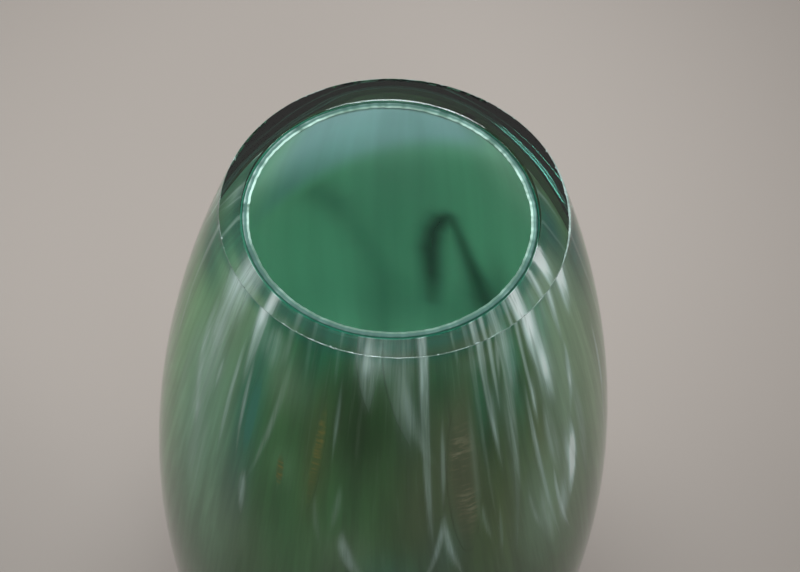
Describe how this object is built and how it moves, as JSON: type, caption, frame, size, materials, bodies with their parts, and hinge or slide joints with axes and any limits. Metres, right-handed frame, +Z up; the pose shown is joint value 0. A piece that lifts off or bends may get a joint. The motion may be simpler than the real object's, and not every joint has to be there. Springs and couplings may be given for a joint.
{
  "type": "art glass vase",
  "caption": "Free-standing ovoid vase of thick clear glass cased over a thin ribboned green colour layer, with a flat cut rim, a pale jade lining and a hollow-ground foot.",
  "frame": {"origin": "middle of the flat plane that the foot stands on", "axes": "+Z up along the axis of revolution, towards the open rim; the side with the broad silver patch faces -Y"},
  "size_m": [0.111, 0.111, 0.22],
  "materials": {
    "clear_glass": "polished clear glass with a faint grey-green tint",
    "jade_glass": "glossy opal jade glass",
    "emerald_glass": "streaked emerald glass, sealed under the casing",
    "silver_glass": "silvery white drawn glass, sealed under the casing",
    "mist_glass": "thin grey-green veils of the silvery glass, sealed under the casing",
    "bronze_glass": "glass with fine brushed bronze and gold leaf, sealed under the casing",
    "teal_glass": "blue-green streaked glass, sealed under the casing",
    "dark_glass": "almost black green glass, sealed under the casing"
  },
  "bodies": {
    "root": {"clear_casing": "clear_glass", "jade_lining": "jade_glass", "green_overlay": "emerald_glass", "dark_trail": "dark_glass", "pale_chevron": "mist_glass", "silver_ribbon_01": "silver_glass", "silver_ribbon_02": "silver_glass", "silver_ribbon_03": "silver_glass", "silver_ribbon_04": "silver_glass", "silver_ribbon_05": "silver_glass", "silver_ribbon_06": "silver_glass", "silver_ribbon_07": "silver_glass", "silver_ribbon_08": "silver_glass", "silver_ribbon_09": "silver_glass", "silver_ribbon_10": "silver_glass", "silver_ribbon_11": "silver_glass", "silver_ribbon_12": "silver_glass", "silver_ribbon_13": "silver_glass", "silver_ribbon_14": "silver_glass", "silver_ribbon_15": "silver_glass", "silver_ribbon_16": "silver_glass", "silver_ribbon_17": "silver_glass", "silver_ribbon_18": "silver_glass", "silver_ribbon_19": "silver_glass", "silver_ribbon_20": "silver_glass", "silver_ribbon_21": "silver_glass", "silver_ribbon_22": "silver_glass", "silver_ribbon_23": "silver_glass", "silver_ribbon_24": "silver_glass", "pale_wisp_01": "mist_glass", "pale_wisp_02": "mist_glass", "pale_wisp_03": "mist_glass", "pale_wisp_04": "mist_glass", "pale_wisp_05": "mist_glass", "pale_wisp_06": "mist_glass", "pale_wisp_07": "mist_glass", "pale_wisp_08": "mist_glass", "pale_wisp_09": "mist_glass", "pale_wisp_10": "mist_glass", "pale_wisp_11": "mist_glass", "pale_wisp_12": "mist_glass", "pale_wisp_13": "mist_glass", "pale_wisp_14": "mist_glass", "pale_wisp_15": "mist_glass", "pale_wisp_16": "mist_glass", "pale_wisp_17": "mist_glass", "bronze_patch_01": "bronze_glass", "bronze_patch_02": "bronze_glass", "bronze_patch_03": "bronze_glass", "bronze_patch_04": "bronze_glass", "bronze_patch_05": "bronze_glass", "teal_streak_01": "teal_glass", "teal_streak_02": "teal_glass", "teal_streak_03": "teal_glass"}
  },
  "joints": []
}
